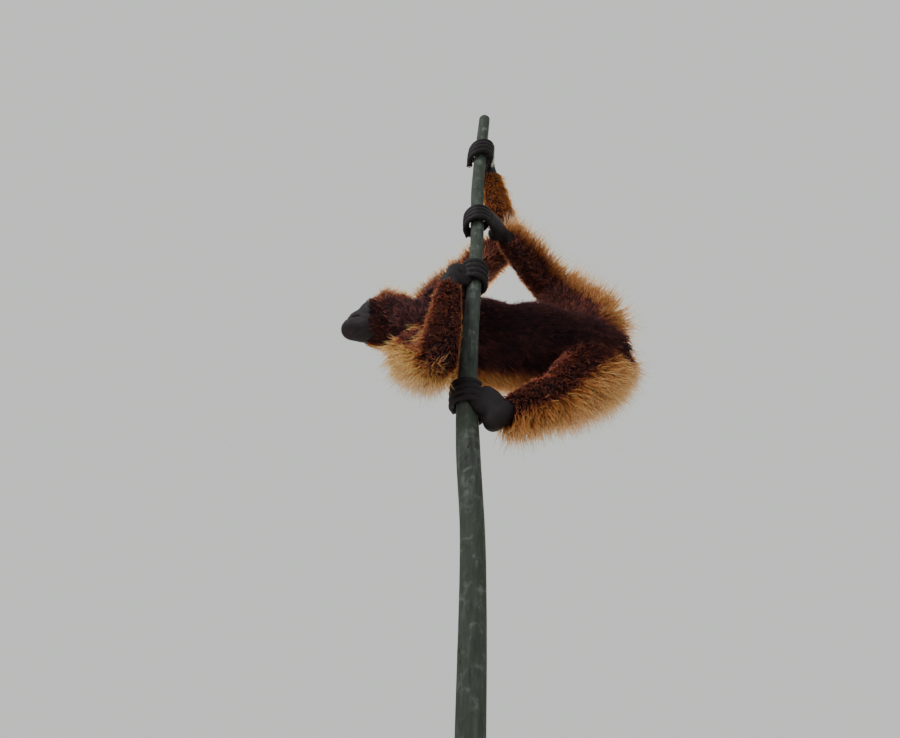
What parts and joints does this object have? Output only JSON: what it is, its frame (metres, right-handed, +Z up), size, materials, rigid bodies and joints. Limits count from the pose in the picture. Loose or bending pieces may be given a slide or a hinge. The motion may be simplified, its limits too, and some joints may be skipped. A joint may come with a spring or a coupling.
{
  "type": "orangutan",
  "caption": "Life-size still model of an adult female orangutan clinging sideways to a slim upright trunk with both hands and both feet, on a flat display stand.",
  "frame": {"origin": "centre of the underside of the stand's base", "axes": "+Z up along the trunk; -X towards the head; -Y the side that the belly and the trunk are on; the ape's left side is up"},
  "size_m": [0.9, 0.6452, 2.33],
  "materials": {
    "coat": "long red-brown hair",
    "bare_skin": "dark bare skin",
    "eye": "wet and glossy",
    "bark": "grey-green bark",
    "stand_steel": "satin black paint"
  },
  "bodies": {
    "root": {"perch_trunk": "bark", "stand_base": "stand_steel", "stand_rod": "stand_steel", "head": "coat", "neck": "coat", "torso": "coat", "eye_left": "eye", "ear_left": "bare_skin", "hand_left": "bare_skin", "foot_left": "bare_skin", "shin_left": "coat", "forearm_left": "coat", "upper_arm_left": "coat", "thigh_left": "coat", "eye_right": "eye", "ear_right": "bare_skin", "hand_right": "bare_skin", "foot_right": "bare_skin", "shin_right": "coat", "forearm_right": "coat", "upper_arm_right": "coat", "thigh_right": "coat"}
  },
  "joints": []
}
